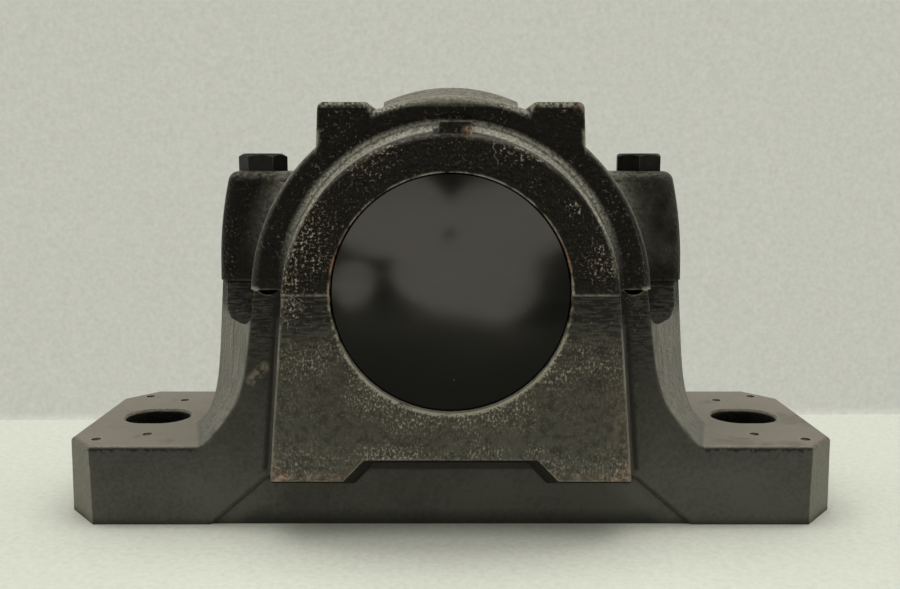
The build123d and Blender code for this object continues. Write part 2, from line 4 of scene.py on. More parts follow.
import bpy
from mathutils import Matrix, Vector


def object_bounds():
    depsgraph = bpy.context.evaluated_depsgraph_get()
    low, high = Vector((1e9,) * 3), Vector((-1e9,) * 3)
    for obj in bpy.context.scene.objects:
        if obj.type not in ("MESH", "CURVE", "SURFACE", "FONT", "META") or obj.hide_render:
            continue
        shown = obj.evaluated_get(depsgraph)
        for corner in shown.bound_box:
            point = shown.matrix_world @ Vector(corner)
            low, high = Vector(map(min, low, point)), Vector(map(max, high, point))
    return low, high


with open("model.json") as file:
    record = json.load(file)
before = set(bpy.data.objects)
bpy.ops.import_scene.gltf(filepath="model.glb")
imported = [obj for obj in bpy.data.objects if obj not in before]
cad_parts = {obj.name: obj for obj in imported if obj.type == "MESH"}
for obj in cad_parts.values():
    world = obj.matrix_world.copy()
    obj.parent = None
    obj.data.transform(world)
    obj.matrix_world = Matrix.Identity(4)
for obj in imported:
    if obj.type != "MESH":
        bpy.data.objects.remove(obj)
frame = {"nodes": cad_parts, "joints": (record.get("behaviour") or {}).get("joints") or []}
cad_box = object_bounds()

scene = bpy.context.scene
nodes = frame["nodes"]

# Everything is in metres in the CAD frame: x to the right, y to the back, z up.


def rgb(red, green, blue):
    return (red, green, blue, 1.0)


# ---------------------------------------------------------------- colours
BLACK_PAINT = rgb(0.0032, 0.0028, 0.0021)
DUSTY_PAINT = rgb(0.080, 0.082, 0.072)
TAN_PAINT = rgb(0.076, 0.070, 0.052)
DARK_MOTTLE = rgb(0.016, 0.015, 0.012)
PALE_GRIT = rgb(0.290, 0.275, 0.220)
# painted highlight and painted shade on the ripples under the joint
RIPPLE_HIGHLIGHT = rgb(0.074, 0.073, 0.062)
RIPPLE_SHADE = rgb(0.010, 0.010, 0.009)
# dust with a painted sheen on the foot tops
FOOT_DUST_AND_SHEEN = rgb(0.205, 0.186, 0.150)
FOOT_STAIN = rgb(0.075, 0.065, 0.050)
# dust with painted side light on the foot ends, and painted side light on the flanks' grain
END_DUST_AND_SIDE_LIGHT = rgb(0.200, 0.194, 0.160)
FLANK_GRAIN_AND_SIDE_LIGHT = rgb(0.250, 0.240, 0.200)
# painted glints: bright specks standing in for light caught by the rough paint
GLINT = rgb(0.170, 0.165, 0.140)
LEDGE_DUST = rgb(0.130, 0.125, 0.100)
# painted highlight on the ring's root fillet
ROOT_HIGHLIGHT = rgb(0.500, 0.490, 0.415)
HOLLOW_DUST = rgb(0.200, 0.196, 0.160)
LUG_DUST = rgb(0.072, 0.070, 0.056)
# worn edges, also painted as highlights
WORN_EDGE_HIGHLIGHT = rgb(0.340, 0.325, 0.265)
WORN_RIM_HIGHLIGHT = rgb(0.400, 0.385, 0.320)
PALE_CHIP = rgb(0.330, 0.300, 0.250)
BROWN_CHIP = rgb(0.190, 0.140, 0.102)
SCRATCH = rgb(0.260, 0.245, 0.200)
DARK_RUST = rgb(0.115, 0.060, 0.038)
PALE_RUST = rgb(0.310, 0.245, 0.195)
SCUFF = rgb(0.190, 0.165, 0.130)
# painted shade for corners, hollows, slots and overhangs
PAINTED_SHADE_TONE = rgb(0.0055, 0.0050, 0.0040)
DRILL_MARK = rgb(0.170, 0.145, 0.112)
BROWN_LINE = rgb(0.012, 0.0088, 0.0064)
FOOT_SPECK = rgb(0.290, 0.275, 0.235)
BORE_BARE = rgb(0.330, 0.315, 0.260)
BORE_RUST = rgb(0.230, 0.115, 0.062)
PAD_DUST = rgb(0.210, 0.198, 0.160)
WARM_GLOSS = rgb(1.0, 0.97, 0.87)

COVER_BLACK = rgb(0.0013, 0.0012, 0.0010)
COVER_DUST = rgb(0.16, 0.15, 0.13)
BOLT_DARK = rgb(0.006, 0.0065, 0.005)
BOLT_BROWN = rgb(0.016, 0.015, 0.010)
BOLT_EDGE = rgb(0.17, 0.165, 0.125)
STEEL_EDGE = rgb(0.72, 0.71, 0.68)

PALE_WALL = rgb(0.530, 0.533, 0.465)
PALE_FLOOR = rgb(0.690, 0.710, 0.625)
ROOM_TINT = rgb(1.0, 0.99, 0.95)


# ---------------------------------------------------------------- node helpers
class Shader:
    """A node tree with short calls for the nodes used here. Every call returns an output socket."""

    def __init__(self, owner):
        owner.use_nodes = True
        self.tree = owner.node_tree
        self.tree.nodes.clear()

    def node(self, kind, **settings):
        made = self.tree.nodes.new(kind)
        for key, value in settings.items():
            setattr(made, key, value)
        return made

    def feed(self, socket, value):
        """Link an output to a socket, or set the socket's own value."""
        if isinstance(value, bpy.types.NodeSocket):
            self.tree.links.new(value, socket)
        elif value is not None:
            socket.default_value = value

    # places and directions
    def place(self):
        return self.node("ShaderNodeTexCoord").outputs["Object"]

    def normal(self):
        return self.axes(self.node("ShaderNodeNewGeometry").outputs["Normal"])

    def axes(self, vector):
        split = self.node("ShaderNodeSeparateXYZ")
        self.feed(split.inputs[0], vector)
        return split.outputs

    def stretched(self, vector, scale):
        made = self.node("ShaderNodeMapping")
        self.feed(made.inputs["Vector"], vector)
        made.inputs["Scale"].default_value = scale
        return made.outputs[0]

    # arithmetic
    def math(self, operation, a, b=None, clamp=False):
        made = self.node("ShaderNodeMath", operation=operation, use_clamp=clamp)
        self.feed(made.inputs[0], a)
        self.feed(made.inputs[1], b)
        return made.outputs[0]

    def chain(self, operation, values, clamp):
        *first, last = values
        result = first[0]
        for value in first[1:]:
            result = self.math(operation, result, value)
        return self.math(operation, result, last, clamp)

    def product(self, *values, clamp=False):
        return self.chain("MULTIPLY", values, clamp)

    def total(self, *values, clamp=False):
        return self.chain("ADD", values, clamp)

    def most(self, *values, clamp=False):
        return self.chain("MAXIMUM", values, clamp)

    def less(self, a, b):
        return self.math("SUBTRACT", a, b)

    def size(self, value):
        return self.math("ABSOLUTE", value)

    def radius(self, a, b):
        return self.math("SQRT", self.total(self.product(a, a), self.product(b, b)))

    # masks: 1 where something is, 0 where it isn't
    def span(self, value, low, high, to_low=0.0, to_high=1.0, smooth=False):
        """Map low to to_low and high to to_high, and hold those values beyond."""
        kind = "SMOOTHSTEP" if smooth else "LINEAR"
        made = self.node("ShaderNodeMapRange", interpolation_type=kind)
        for socket, number in zip(made.inputs, (value, low, high, to_low, to_high)):
            self.feed(socket, number)
        return made.outputs[0]

    def window(self, value, start, full, still, end):
        """Rise from start to full and fall from still to end."""
        return self.product(self.span(value, start, full), self.span(value, end, still))

    def near(self, vector, point, radius, soft):
        """1 within the radius of a point, falling to 0 over the soft distance."""
        made = self.node("ShaderNodeVectorMath", operation="DISTANCE")
        self.feed(made.inputs[0], vector)
        made.inputs[1].default_value = point
        return self.span(made.outputs["Value"], radius, radius + soft, 1.0, 0.0, smooth=True)

    def edges(self, radius):
        """1 on convex and concave edges within the radius, 0 on open faces."""
        bevel = self.node("ShaderNodeBevel", samples=6)
        bevel.inputs["Radius"].default_value = radius
        dot = self.node("ShaderNodeVectorMath", operation="DOT_PRODUCT")
        self.feed(dot.inputs[0], bevel.outputs[0])
        self.feed(dot.inputs[1], self.node("ShaderNodeNewGeometry").outputs["True Normal"])
        return self.span(dot.outputs["Value"], 0.995, 0.85)

    def open_sky(self, distance):
        """1 on open faces and convex edges, falling towards 0 in corners and hollows."""
        made = self.node("ShaderNodeAmbientOcclusion", samples=8)
        made.inputs["Distance"].default_value = distance
        return made.outputs["AO"]

    # textures
    def noise(self, vector, scale, detail=3.0, rough=0.5, distort=0.0):
        made = self.node("ShaderNodeTexNoise")
        self.feed(made.inputs["Vector"], vector)
        made.inputs["Scale"].default_value = scale
        made.inputs["Detail"].default_value = detail
        made.inputs["Roughness"].default_value = rough
        made.inputs["Distortion"].default_value = distort
        return made.outputs["Fac"]

    def cells(self, vector, scale):
        made = self.node("ShaderNodeTexVoronoi", feature="F1")
        self.feed(made.inputs["Vector"], vector)
        made.inputs["Scale"].default_value = scale
        return made.outputs["Distance"]

    # colour and surface
    def blend(self, factor, a, b):
        made = self.node("ShaderNodeMix", data_type="RGBA")
        self.feed(made.inputs[0], factor)
        self.feed(made.inputs[6], a)
        self.feed(made.inputs[7], b)
        return made.outputs[2]

    def tinted(self, color, factor):
        made = self.node("ShaderNodeVectorMath", operation="SCALE")
        made.inputs[0].default_value = color[:3]
        self.feed(made.inputs["Scale"], factor)
        return made.outputs[0]

    def bump(self, height, strength, distance):
        made = self.node("ShaderNodeBump")
        made.inputs["Strength"].default_value = strength
        made.inputs["Distance"].default_value = distance
        self.feed(made.inputs["Height"], height)
        return made.outputs[0]

    def surface(self, **inputs):
        made = self.node("ShaderNodeBsdfPrincipled")
        for name, value in inputs.items():
            self.feed(made.inputs[name.replace("_", " ")], value)
        self.output("ShaderNodeOutputMaterial", made.outputs[0])

    def mixed(self, factor, a, b):
        made = self.node("ShaderNodeMixShader")
        for socket, value in zip(made.inputs, (factor, a, b)):
            self.feed(socket, value)
        return made.outputs[0]

    def output(self, kind, shader):
        self.feed(self.node(kind).inputs["Surface"], shader)


def material(name, kind=Shader):
    made = bpy.data.materials.new(name)
    return made, kind(made)


def dress(material, *names):
    for name in names:
        mesh = nodes[name].data
        mesh.materials.clear()
        mesh.materials.append(material)


# ---------------------------------------------------------------- measures of the part
shaft_spin = next(joint for joint in frame["joints"] if joint["name"] == "shaft_spin")
SHAFT_Z = shaft_spin["pos_m"][2]    # height of the shaft line
FACE_Y = cad_box[0][1]              # front face of the ring and the apron
WALL_Y = -0.045                     # front face of the walls and the feet
SLOT_X = 0.130                      # distance of the foot slots from the middle
TURNING = 9000.0                    # turning lines round the shaft, in radians per metre


# ---------------------------------------------------------------- castings
class Casting(Shader):
    """The casting's shader, with the fields and masks that its layers share.

    depth is the distance from the middle plane, so the rear face looks like the front one.
    What belongs to one place on the front goes by y or by a point instead.
    """

    def __init__(self, owner):
        super().__init__(owner)
        self.spot = self.place()
        self.x, self.y, self.z = self.axes(self.spot)
        self.width = self.size(self.x)
        self.depth = self.size(self.y)
        self.from_shaft = self.radius(self.x, self.less(self.z, SHAFT_Z))
        facing = self.normal()
        self.up = facing[2]
        self.side = self.size(facing[0])

        # noise, from coarse to fine
        self.broad = self.noise(self.spot, 22.0, 4.0, 0.6)
        self.patches = self.noise(self.spot, 75.0, 5.0, 0.62)
        self.blotches = self.noise(self.spot, 210.0, 4.0, 0.65)
        self.grit = self.noise(self.spot, 560.0, 3.0, 0.6)
        self.specks = self.noise(self.spot, 900.0, 3.0, 0.65)
        self.ripples = self.noise(self.stretched(self.spot, (0.30, 1.0, 1.6)), 620.0, 2.0, 0.5)

        # masks that more than one layer uses; wall_or_before is 1 on the walls' plane and before it
        self.sky = self.open_sky(0.006)
        self.on_face = self.span(self.depth, 0.0535, 0.0575)
        self.wall_or_before = self.span(self.depth, 0.0435, 0.0440)
        self.rippled = self.window(self.z, 0.055, 0.075, 0.0940, 0.0945)
        self.foot_top = self.product(self.span(self.up, 0.80, 0.97), self.span(self.z, 0.045, 0.035))
        slot_length = self.span(self.size(self.less(self.width, SLOT_X)), 0.0152, 0.0144)
        slot_width = self.span(self.depth, 0.0124, 0.0116)
        self.in_slot = self.product(slot_length, slot_width, self.span(self.z, 0.0313, 0.0305))
        self.film = self.paint_film()
        # worn edges, which the colour also paints as highlights
        self.worn = self.edge_wear_and_highlight()
        # painted highlight on the ring's root fillet where it faces up
        self.root = self.ring_root_highlight()

    def paint_film(self):
        """Thin, dusty paint: most of it low down, hardly any above the joint."""
        low = self.span(self.z, 0.100, 0.012)
        uneven = self.span(self.broad, 0.25, 0.75, 0.60, 1.25)
        gritty = self.span(self.grit, 0.3, 0.7, 0.80, 1.20)
        return self.product(low, uneven, gritty, clamp=True)

    def edge_wear_and_highlight(self):
        """Paint worn off the convex edges, less so at the lugs' joint and not inside the notch; the colour
        paints these edges as highlights too.
        """
        convex = self.span(self.sky, 0.70, 0.92)
        outside_notch = self.most(self.span(self.width, 0.050, 0.054),
                                  self.span(self.depth, 0.0575, 0.0585),
                                  self.span(self.z, 0.0245, 0.0255))
        from_joint = self.size(self.less(self.z, 0.0970))
        off_joint = self.most(self.span(self.depth, 0.0430, 0.0440),
                              self.span(from_joint, 0.0030, 0.0045, 0.30, 1.0))
        patchy = self.product(self.edges(0.0013), self.span(self.blotches, 0.36, 0.58), clamp=True)
        return self.product(patchy, convex, outside_notch, off_joint)

    def ring_root_highlight(self):
        """A painted highlight on the fillet round the ring's root and on the ring's rounded edge where they
        face up, dimmer at the sides, with a darker seam between.
        """
        band = self.window(self.from_shaft, 0.0600, 0.0607, 0.0704, 0.0716)
        from_seam = self.size(self.less(self.from_shaft, 0.0631))
        seam = self.span(from_seam, 0.0002, 0.0008, 0.40, 1.0)
        upwards = self.span(self.up, 0.05, 0.40)
        before_wall = self.span(self.depth, 0.0440, 0.0451)
        speckled = self.span(self.specks, 0.36, 0.56, 0.25, 1.0)
        beside_nib = self.most(self.span(self.width, 0.0064, 0.0072), self.span(self.depth, 0.0470, 0.0462))
        dim_at_sides = self.span(self.z, 0.100, 0.132, 0.40, 1.0)
        # the painted highlight's band where it faces up
        dusty = self.product(band, seam, upwards, before_wall, speckled, clamp=True)
        return self.product(dusty, beside_nib, dim_at_sides)


def aprons(c, color):
    """Browner paint with a worn band under the joint, pale grit and dark mottling."""
    apron = c.product(c.on_face, c.span(c.z, 0.085, 0.076))
    color = c.blend(c.product(apron, c.span(c.blotches, 0.30, 0.75, 0.05, 0.85)), color, TAN_PAINT)

    worn_band = c.window(c.z, 0.060, 0.067, 0.071, 0.078)
    low_down = c.span(c.z, 0.040, 0.028)
    round_bore = c.product(c.span(c.from_shaft, 0.0610, 0.0480, smooth=True), c.span(c.z, 0.082, 0.070))
    over_notch = c.product(c.span(c.z, 0.0385, 0.0350), c.span(c.width, 0.036, 0.032))
    corner = c.near(c.spot, (0.0665, FACE_Y, 0.0285), 0.001, 0.007)
    amount = c.total(c.product(worn_band, 0.55), c.product(low_down, 0.45), c.product(round_bore, 0.65),
                     c.product(over_notch, 1.10), corner, 0.20)
    amount = c.product(amount, apron, c.span(c.patches, 0.38, 0.62, 0.10, 1.60))
    streaky = c.noise(c.stretched(c.spot, (1.0, 1.0, 0.65)), 1150.0, 4.0, 0.65)
    color = c.blend(c.product(c.span(streaky, 0.520, 0.630), amount, clamp=True), color, PALE_GRIT)

    mottle = c.product(apron, c.span(c.noise(c.spot, 330.0, 4.0, 0.7), 0.52, 0.38), clamp=True)
    return c.blend(c.product(mottle, 0.55), color, DARK_MOTTLE)


def lit_ripples(c, color):
    """Painted highlight on the crests and painted shade in the troughs of the casting's ripples just under
    the joint, which the bump shows too.
    """
    color = c.blend(c.product(c.rippled, c.span(c.ripples, 0.46, 0.60, 0.0, 0.45)), color, RIPPLE_HIGHLIGHT)
    return c.blend(c.product(c.rippled, c.span(c.ripples, 0.46, 0.36, 0.0, 0.45)), color, RIPPLE_SHADE)


def feet_and_flanks(c, color):
    """Smooth foot tops with dust and a painted sheen, foot ends with dust and painted side light, and
    flanks with a drawn vertical grain and painted side light.
    """
    # dust with a painted sheen on the foot tops
    dust = c.product(c.foot_top, c.span(c.broad, 0.2, 0.8, 0.80, 1.0))
    color = c.blend(dust, color, FOOT_DUST_AND_SHEEN)
    stains = c.product(c.foot_top, c.span(c.noise(c.spot, 55.0, 3.0, 0.5, 0.6), 0.60, 0.70))
    color = c.blend(c.product(stains, 0.40), color, FOOT_STAIN)
    # dust with painted side light on the foot ends
    ends = c.product(c.span(c.side, 0.35, 0.70), c.span(c.z, 0.036, 0.031))
    color = c.blend(c.product(ends, c.span(c.grit, 0.3, 0.7, 0.6, 1.0)), color, END_DUST_AND_SIDE_LIGHT)

    drawn = c.noise(c.stretched(c.spot, (1.0, 1.0, 0.06)), 640.0, 3.0, 0.6)
    # painted side light on the flanks, over a drawn vertical grain
    flank = c.product(c.span(c.side, 0.35, 0.8), c.window(c.z, 0.031, 0.034, 0.080, 0.086))
    return c.blend(c.product(flank, c.span(drawn, 0.32, 0.68, 0.30, 1.0)), color, FLANK_GRAIN_AND_SIDE_LIGHT)


def glints_highlight_and_dust(c, color):
    """Painted glints on the rough paint, dust on the cap's ledges, hollows and right lug, and a painted
    highlight on the ring root.
    """
    # painted glints where the rough paint would catch the light
    in_patches = c.span(c.patches, 0.46, 0.66, 0.06, 0.90)
    glints = c.product(c.span(c.specks, 0.600, 0.660), in_patches, clamp=True)
    color = c.blend(c.product(glints, c.span(c.z, 0.040, 0.085, 0.20, 1.0)), color, GLINT)

    ledge = c.product(c.span(c.up, 0.15, 0.75), c.span(c.z, 0.090, 0.110))
    dust = c.product(ledge, c.span(c.grit, 0.40, 0.62, 0.15, 0.75), clamp=True)
    color = c.blend(dust, color, LEDGE_DUST)
    # painted highlight on the ring root
    color = c.blend(c.product(c.root, 0.9), color, ROOT_HIGHLIGHT)

    beside_barrel = c.span(c.from_shaft, 0.0900, 0.0765, smooth=True)
    hollow = c.product(beside_barrel, c.span(c.z, 0.098, 0.135), c.span(c.depth, 0.0445, 0.0435))
    color = c.blend(c.product(hollow, c.span(c.grit, 0.35, 0.60, 0.30, 0.85)), color, HOLLOW_DUST)

    lug = c.product(c.span(c.x, 0.070, 0.084), c.span(c.z, 0.0975, 0.1050), c.span(c.depth, 0.0425, 0.0415))
    return c.blend(c.product(lug, c.span(c.patches, 0.35, 0.65, 0.05, 0.55)), color, LUG_DUST)


def worn_and_highlit_edges(c, color):
    """Worn edges with a painted highlight: the cap's whole outer rim, the crests of barrel and shoulders,
    others in patches, brighter where they face up.
    """
    rim = c.product(c.window(c.from_shaft, 0.0735, 0.0745, 0.0780, 0.0790), c.span(c.depth, 0.0425, 0.0435),
                    c.span(c.z, 0.0943, 0.0950))
    rim = c.product(rim, c.span(c.edges(0.0026), 0.0, 0.45),
                    c.span(c.specks, 0.36, 0.54, 0.55, 1.0), clamp=True)
    barrel = c.product(c.span(c.up, 0.10, 0.50), c.span(c.z, 0.1590, 0.1620),
                       c.span(c.depth, 0.0405, 0.0425), c.span(c.specks, 0.42, 0.58, 0.05, 0.90),
                       clamp=True)
    shoulders = c.product(c.span(c.z, 0.1636, 0.1652), c.span(c.depth, 0.0415, 0.0425),
                          c.span(c.width, 0.0290, 0.0310), c.span(c.specks, 0.44, 0.58, 0.10, 1.0))
    crests = c.most(barrel, shoulders, clamp=True)
    # painted light: edges that face up are painted brighter
    lit = c.span(c.up, 0.02, 0.45, 0.60, 0.95)
    color = c.blend(c.product(c.worn, lit), color, WORN_EDGE_HIGHLIGHT)
    return c.blend(c.most(rim, crests), color, WORN_RIM_HIGHLIGHT)


# Where the chips on the ring are thickest: x and z, the radius of the full strength and the soft distance.
CHIP_FIELDS = (
    (-0.0560, 0.1170, 0.005, 0.020),
    (0.0550, 0.1070, 0.002, 0.010),
    (-0.0620, 0.0930, 0.003, 0.012),
    (-0.0300, 0.1480, 0.002, 0.016),
    (0.0240, 0.1500, 0.001, 0.012),
    (0.0445, 0.1266, 0.002, 0.003),
    (0.0323, 0.1461, 0.001, 0.003),
    (0.0297, 0.1356, 0.001, 0.004),
    (-0.0470, 0.1068, 0.001, 0.005),
)


def ring_chips(c, color):
    """Chips and dust flecks on the ring, mostly near its outer edge."""
    field = c.total(*(c.near(c.spot, (x, FACE_Y, z), extent, soft) for x, z, extent, soft in CHIP_FIELDS))
    field = c.product(field, c.span(c.from_shaft, 0.0470, 0.0590, 0.30, 0.85))
    field = c.total(field, 0.12, clamp=True)
    flecks = c.noise(c.spot, 800.0, 4.0, 0.72)
    chips = c.span(c.total(flecks, c.product(field, 0.09)), 0.620, 0.665)
    chips = c.product(chips, c.total(field, 0.25), c.on_face, clamp=True)
    tone = c.blend(c.span(c.noise(c.spot, 170.0, 2.0), 0.44, 0.58), PALE_CHIP, BROWN_CHIP)
    return c.blend(chips, color, tone)


def scratch(c, color):
    """A hairline scratch down from the ring's edge."""
    wander = c.product(c.less(c.noise(c.spot, 190.0, 2.0, 0.5), 0.5), 0.0060)
    from_line = c.size(c.total(c.less(c.x, 0.0166), wander))
    on_front = c.span(c.y, -0.058, -0.059)
    length = c.window(c.z, 0.1420, 0.1432, 0.1545, 0.1560)
    line = c.product(c.span(from_line, 0.00026, 0.00008), on_front, length)
    return c.blend(c.product(line, 0.40), color, SCRATCH)


def rust(c, color):
    """Rust on the nib, a shoulder's top corner, and the apron's lower corners, lower edge and right."""
    nib = c.near(c.spot, (0.0066, -0.059, 0.1545), 0.0008, 0.0028)
    shoulder = c.near(c.spot, (0.0495, -0.044, 0.1650), 0.001, 0.004)
    left_corner = c.near(c.spot, (-0.0690, FACE_Y, 0.0255), 0.002, 0.007)
    right_corner = c.near(c.spot, (0.0675, FACE_Y, 0.0260), 0.001, 0.005)
    right_side = c.product(c.span(c.x, 0.057, 0.064), c.window(c.z, 0.030, 0.038, 0.056, 0.066))
    low_edge = c.window(c.z, 0.0225, 0.0240, 0.0250, 0.0275)
    spots = c.total(nib, shoulder, left_corner, right_corner, c.product(right_side, 0.26),
                    c.product(low_edge, 0.55), clamp=True)
    patchy = c.product(spots, c.span(c.noise(c.spot, 300.0, 4.0, 0.65), 0.40, 0.56), clamp=True)
    at_front = c.most(c.on_face, c.span(c.z, 0.150, 0.160))
    tone = c.blend(c.span(c.grit, 0.40, 0.62), DARK_RUST, PALE_RUST)
    return c.blend(c.product(patchy, at_front), color, tone)


def scuff(c, color):
    """A pale scuff that runs up to the right across the left wall."""
    middle_x, middle_z = -0.0755, 0.0618
    across = c.less(c.product(c.less(c.x, middle_x), 0.70), c.product(c.less(c.z, middle_z), 0.70))
    mark = c.product(c.span(c.size(across), 0.0028, 0.0010),
                     c.near(c.spot, (middle_x, WALL_Y, middle_z), 0.004, 0.003))
    mark = c.product(mark, c.span(c.noise(c.spot, 500.0, 3.0), 0.40, 0.58), clamp=True)
    return c.blend(c.product(mark, 0.8), color, SCUFF)


def painted_shade(c, color):
    """Painted shade in corners and hollows, beside and under the aprons, in the slots and low on the front.
    """
    under_joint = c.span(c.z, 0.0945, 0.0940)
    # the relief's sloping edge on the wall, and the apron's upright one
    from_step = c.less(c.width, c.less(0.0963, c.product(c.z, 1.16)))
    from_apron = c.less(c.width, c.less(0.0738, c.product(c.z, 0.0934)))

    step = c.product(c.span(c.size(from_step), 0.0020, 0.0006), c.span(c.z, 0.0240, 0.0225),
                     c.wall_or_before)
    skirt = c.product(c.span(c.z, 0.0090, 0.0010), c.span(from_step, -0.004, -0.014), c.wall_or_before)
    apron_side = c.product(c.window(c.depth, 0.0450, 0.0456, 0.0578, 0.0588), under_joint)
    underside = c.product(c.span(c.up, -0.10, -0.30), c.span(c.z, 0.040, 0.036), c.wall_or_before)
    beside = c.product(c.span(from_apron, 0.0038, 0.0022), c.span(c.z, 0.0215, 0.0235), under_joint)
    below = c.product(c.span(from_step, -0.010, -0.018), c.span(c.z, 0.0245, 0.0235))
    on_wall = c.product(c.span(c.depth, 0.0460, 0.0455), c.wall_or_before)
    wall_shade = c.product(c.most(c.product(beside, 0.75), c.product(below, 0.22)), on_wall)
    corners = c.span(c.sky, 0.80, 0.45)

    # painted shade, kept off the ring root's painted highlight below
    shade_mask = c.most(c.product(apron_side, 0.62), c.product(underside, 0.90), wall_shade,
                  c.product(c.in_slot, 0.90), c.product(corners, 0.75), c.product(step, 0.65),
                  c.product(skirt, 0.75))
    shade_mask = c.product(shade_mask, c.less(1.0, c.root), clamp=True)
    return c.blend(shade_mask, color, PAINTED_SHADE_TONE)


def foot_details(c, color):
    """Faint drill marks, and a jagged brown line under the feet's top edge with pale specks over it."""
    on_foot = c.product(c.span(c.width, 0.098, 0.102), c.span(c.z, 0.0270, 0.0275))
    off_ends = c.span(c.side, 0.75, 0.55)
    below_top = c.span(c.z, 0.03198, 0.03190)
    inside = c.span(c.depth, 0.0440, 0.0435)
    marks = c.product(off_ends, below_top, inside, on_foot, c.less(1.0, c.in_slot), clamp=True)
    color = c.blend(c.product(marks, 0.9), color, DRILL_MARK)

    jagged = c.total(c.z, c.product(c.less(c.noise(c.spot, 420.0, 4.0, 0.65), 0.5), 0.0050))
    line = c.product(c.span(jagged, 0.0302, 0.0309), c.span(c.depth, 0.0436, 0.0440),
                     c.span(c.up, 0.80, 0.60), on_foot, clamp=True)
    color = c.blend(c.product(line, 0.85), color, BROWN_LINE)

    front_strip = c.product(c.foot_top, on_foot, c.span(c.depth, 0.0415, 0.0445))
    pale = c.product(front_strip, c.span(c.specks, 0.46, 0.58, 0.0, 0.8), clamp=True)
    return c.blend(pale, color, FOOT_SPECK)


def bore_edge(c, color):
    """The bore's edge, worn through the paint: a broken line above, wider and unbroken below."""
    ragged = c.product(c.span(c.z, 0.110, 0.070), c.span(c.specks, 0.38, 0.62, 0.0, 0.0013))
    ring = c.span(c.less(c.from_shaft, ragged), 0.0458, 0.0452)
    broken = c.span(c.total(c.blotches, c.span(c.z, 0.085, 0.060, 0.0, 0.12)), 0.44, 0.58)
    worn = c.product(ring, c.on_face, broken, clamp=True)
    rusty = c.product(c.span(c.patches, 0.38, 0.54), c.window(c.z, 0.080, 0.100, 0.120, 0.130))
    tone = c.blend(rusty, BORE_BARE, BORE_RUST)
    return c.blend(c.product(worn, c.span(c.z, 0.130, 0.110, 0.50, 0.85)), color, tone)


def raised_pad(c, color):
    """The bare raised pad on the cap: dusty and pale."""
    pad = c.product(c.span(c.z, 0.1640, 0.1665), c.span(c.width, 0.0300, 0.0285))
    return c.blend(c.product(pad, c.span(c.grit, 0.30, 0.60, 0.35, 0.95)), color, PAD_DUST)


def cast_skin(c):
    """The bump of the cast skin, nearly flat on the foot tops and calmer near the floor."""
    grain = c.noise(c.spot, 1500.0, 2.0, 0.5)
    pits = c.span(c.cells(c.spot, 470.0), 0.0, 0.5)
    height = c.total(c.product(c.grit, 0.9), c.product(pits, 0.40), c.product(grain, 0.22),
                     c.product(c.ripples, c.rippled, 1.3))
    calm = c.total(c.foot_top, c.product(c.span(c.z, 0.030, 0.022), 0.80), clamp=True)
    return c.bump(c.product(height, c.span(calm, 0.0, 1.0, 1.0, 0.14)), 1.0, 0.00090)


def casting():
    """Black paint over rough cast iron: dusty below, worn on the edges with painted highlights, rusty and
    flecked in spots, with painted glints and painted shade in corners and under overhangs.
    """
    made, c = material("casting", Casting)
    color = c.blend(c.film, BLACK_PAINT, DUSTY_PAINT)
    for layer in (aprons, lit_ripples, feet_and_flanks, glints_highlight_and_dust, worn_and_highlit_edges, ring_chips, scratch,
                  rust, scuff, painted_shade, foot_details, bore_edge, raised_pad):
        color = layer(c, color)
    rough = c.total(c.span(c.patches, 0.3, 0.7, 0.27, 0.40), c.product(c.most(c.worn, c.film), 0.22))
    c.surface(Base_Color=color, Roughness=rough, Normal=cast_skin(c), Specular_IOR_Level=0.125,
              Specular_Tint=WARM_GLOSS)
    return made


# ---------------------------------------------------------------- the other pieces
def gloss_cover():
    """Glossy black moulding, a little uneven, with dust specks."""
    made, s = material("gloss_cover")
    place = s.place()
    in_patches = s.span(s.noise(place, 45.0, 2.0), 0.52, 0.62)
    specks = s.product(s.span(s.cells(place, 160.0), 0.05, 0.03), in_patches, clamp=True)
    color = s.blend(specks, COVER_BLACK, COVER_DUST)
    smear = s.noise(s.stretched(place, (1.0, 1.0, 2.5)), 28.0, 4.0, 0.55)
    wave = s.noise(place, 17.0, 1.0, 0.4)
    s.surface(Base_Color=color, Roughness=s.span(smear, 0.3, 0.7, 0.06, 0.12),
              Normal=s.bump(wave, 1.0, 0.0007), Specular_IOR_Level=0.12)
    return made


def bolt_steel():
    """Dark, oily bolt heads with bright edges."""
    made, s = material("bolt_steel")
    place = s.place()
    stain = s.noise(place, 210.0, 4.0, 0.6)
    color = s.blend(s.span(stain, 0.45, 0.70), BOLT_DARK, BOLT_BROWN)
    color = s.blend(s.product(s.edges(0.0005), s.span(stain, 0.35, 0.6)), color, BOLT_EDGE)
    normal = s.bump(s.noise(place, 900.0, 3.0), 0.25, 0.0002)
    s.surface(Base_Color=color, Metallic=0.05, Roughness=s.span(stain, 0.3, 0.7, 0.35, 0.55),
              Normal=normal, Specular_IOR_Level=0.12)
    return made


def steel(name, color, dark, rough, turned):
    """Machined steel under a thin film of oil. turned is the strength of its turning lines."""
    made, s = material(name)
    place = s.place()
    x, y, z = s.axes(place)
    film = s.noise(place, 60.0, 4.0, 0.6)
    tone = s.blend(s.span(film, 0.35, 0.75), color, dark)
    tone = s.blend(s.product(s.edges(0.0004), 0.5), tone, STEEL_EDGE)
    along = s.total(s.radius(x, s.less(z, SHAFT_Z)), y)
    lines = s.math("SINE", s.product(along, TURNING))
    ground = s.noise(place, 900.0, 2.0)
    height = s.total(s.product(lines, turned), s.product(ground, 0.35))
    s.surface(Base_Color=tone, Metallic=1.0, Roughness=s.span(film, 0.3, 0.7, rough, rough + 0.14),
              Normal=s.bump(height, 0.12, 0.00006))
    return made


